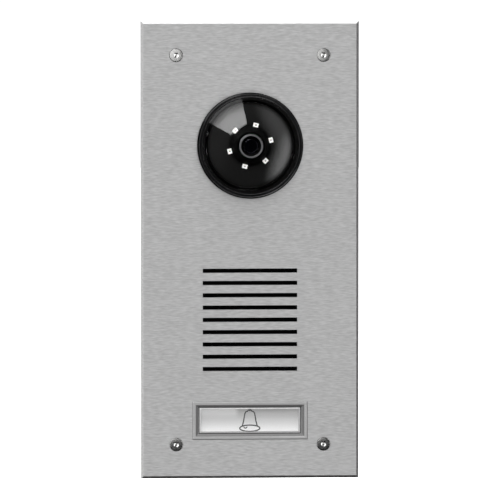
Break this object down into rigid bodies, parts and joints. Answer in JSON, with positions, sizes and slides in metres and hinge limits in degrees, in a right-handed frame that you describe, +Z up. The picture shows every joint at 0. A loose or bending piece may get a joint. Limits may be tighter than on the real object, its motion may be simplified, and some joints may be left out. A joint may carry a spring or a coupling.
{
  "type": "door intercom panel",
  "caption": "Flush door station: brushed metal front plate with a domed swivelling camera, horizontal speech slots, a wide call button and a rear electronics housing.",
  "frame": {"origin": "centre of the front plate's outline, in the plane of the wall surface that the perimeter seal rests on", "axes": "+X to the right of a viewer facing the panel, +Y into the wall, +Z up; the front faces -Y"},
  "size_m": [0.136, 0.0595, 0.285],
  "materials": {
    "brushed_stainless": "brushed",
    "screw_steel": "satin",
    "foam": "closed-cell foam",
    "bezel_plastic": "glossy",
    "camera_plastic": "satin",
    "inner_plastic": "matt",
    "seal_rubber": "matt",
    "clear_polycarbonate": "clear",
    "acoustic_cloth": "woven",
    "cone_paper": "pressed paper",
    "zinc_steel": "zinc plated",
    "spring_steel": "drawn",
    "microphone_can": "satin",
    "frame_metal": "satin",
    "circuit_board": "solder mask",
    "housing_plastic": "textured",
    "terminal_plastic": "moulded",
    "trimmer_plastic": "moulded",
    "white_plastic": "moulded",
    "led_package": "moulded",
    "lens_ring_metal": "satin",
    "lens_glass": "coated",
    "label_paper": "printed",
    "light_diffuser": "opal"
  },
  "bodies": {
    "panel": {"front_plate": "brushed_stainless", "plate_seal": "foam", "plate_screw_1": "screw_steel", "plate_screw_2": "screw_steel", "plate_screw_3": "screw_steel", "plate_screw_4": "screw_steel", "camera_bezel": "bezel_plastic", "bezel_seal": "seal_rubber", "bezel_nut": "inner_plastic", "camera_dome": "clear_polycarbonate", "dome_seal": "seal_rubber", "swivel_keeper": "inner_plastic", "speaker_cloth": "acoustic_cloth", "speaker_gasket": "foam", "speaker_frame": "zinc_steel", "speaker_cone": "cone_paper", "speaker_magnet": "zinc_steel", "microphone_boot": "seal_rubber", "microphone": "microphone_can", "button_frame": "frame_metal", "return_spring_1": "spring_steel", "return_spring_2": "spring_steel", "switch_body": "inner_plastic", "button_board": "circuit_board", "housing": "housing_plastic", "housing_nut_1": "zinc_steel", "housing_nut_2": "zinc_steel", "housing_nut_3": "zinc_steel", "housing_nut_4": "zinc_steel", "main_board": "circuit_board", "terminal_block": "terminal_plastic", "terminal_screw_1": "zinc_steel", "terminal_screw_2": "zinc_steel", "terminal_screw_3": "zinc_steel", "terminal_screw_4": "zinc_steel", "trimmer_body_1": "trimmer_plastic", "trimmer_body_2": "trimmer_plastic"},
    "camera_swivel": {"swivel_ring": "inner_plastic", "tilt_pin_1": "spring_steel", "tilt_pin_2": "spring_steel"},
    "camera_head": {"camera_head": "camera_plastic", "led_board": "circuit_board", "led_1": "led_package", "led_2": "led_package", "led_3": "led_package", "led_4": "led_package", "led_5": "led_package", "led_6": "led_package", "lens_base": "bezel_plastic", "lens_barrel": "bezel_plastic", "lens_ring": "lens_ring_metal", "lens_glass": "lens_glass", "sensor_board": "circuit_board", "head_cover": "inner_plastic"},
    "call_button": {"call_button": "clear_polycarbonate", "name_label": "label_paper", "button_carrier": "light_diffuser"},
    "switch_plunger": {"switch_plunger": "white_plastic"},
    "trimmer_1": {"trimmer_knob_1": "white_plastic"},
    "trimmer_2": {"trimmer_knob_2": "white_plastic"}
  },
  "joints": [
    {"name": "camera_turn", "type": "hinge", "parent": "panel", "child": "camera_swivel", "pos_m": [0, 0, 0.0651], "axis": [0, -1, 0], "range_deg": [-45, 45]},
    {"name": "camera_tilt", "type": "hinge", "parent": "camera_swivel", "child": "camera_head", "pos_m": [0, 0.0042, 0.0651], "axis": [0.9659, 0, -0.2588], "range_deg": [-8, 8]},
    {"name": "button_press", "type": "slide", "parent": "panel", "child": "call_button", "axis": [0, 1, 0], "range_m": [0, 0.0012], "stiffness_N_per_m": 1200, "springref_m": -0.0015, "deforming": ["return_spring_1", "return_spring_2"]},
    {"name": "switch_press", "type": "slide", "parent": "panel", "child": "switch_plunger", "axis": [0, 1, 0], "range_m": [0, 0.0012]},
    {"name": "trimmer_1_turn", "type": "hinge", "parent": "panel", "child": "trimmer_1", "pos_m": [-0.026, 0.0297, 0.012], "axis": [0, 1, 0], "range_deg": [-140, 140]},
    {"name": "trimmer_2_turn", "type": "hinge", "parent": "panel", "child": "trimmer_2", "pos_m": [-0.014, 0.0297, 0.012], "axis": [0, 1, 0], "range_deg": [-140, 140]}
  ],
  "couplings": [
    {"joint": "switch_press", "follows": "button_press", "ratio": 1}
  ]
}
